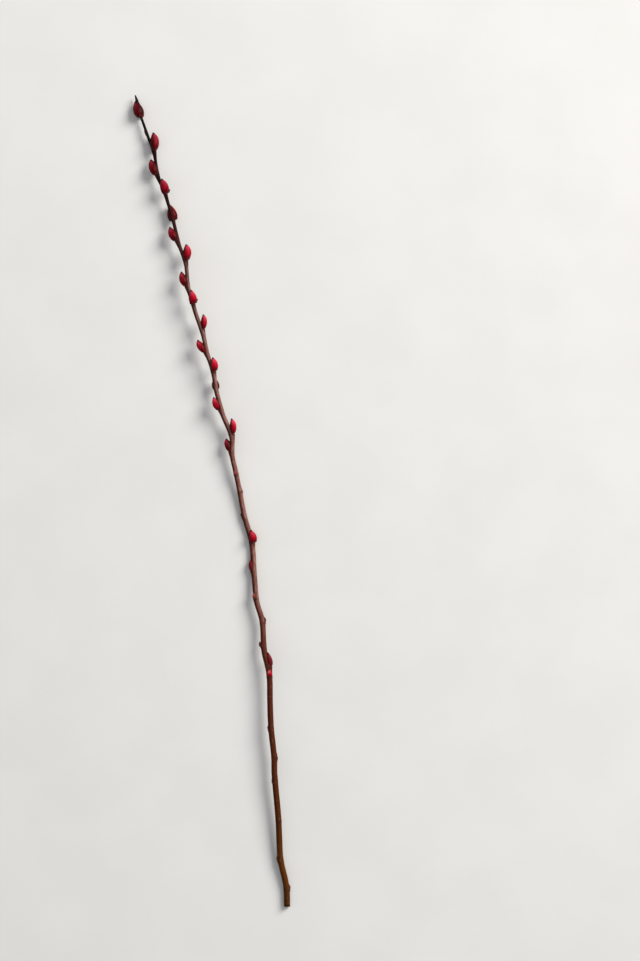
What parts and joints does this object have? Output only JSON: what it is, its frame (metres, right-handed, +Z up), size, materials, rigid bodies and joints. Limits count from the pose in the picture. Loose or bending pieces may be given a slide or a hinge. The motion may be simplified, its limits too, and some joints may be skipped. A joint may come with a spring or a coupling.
{
  "type": "willow twig",
  "caption": "Cut willow twig with glossy red winter buds, gently bowed, lying on a flat surface.",
  "frame": {"origin": "middle of the twig's box, on the surface that it lies on", "axes": "+Y along the twig from its cut end to its tip, +X to its right as seen from above, which is the side that it bows to, +Z up"},
  "size_m": [0.048, 0.9014, 0.0212],
  "materials": {
    "bark": "satin, smooth young purplish-brown bark, reddish brown lower down and olive brown at the foot",
    "bud_scale": "glossy, deep red waxy bud scales with dark brown beaks",
    "cut_wood": "matte, pale cut wood with a brown pith"
  },
  "bodies": {
    "root": {"willow_twig": "bark"}
  },
  "joints": []
}
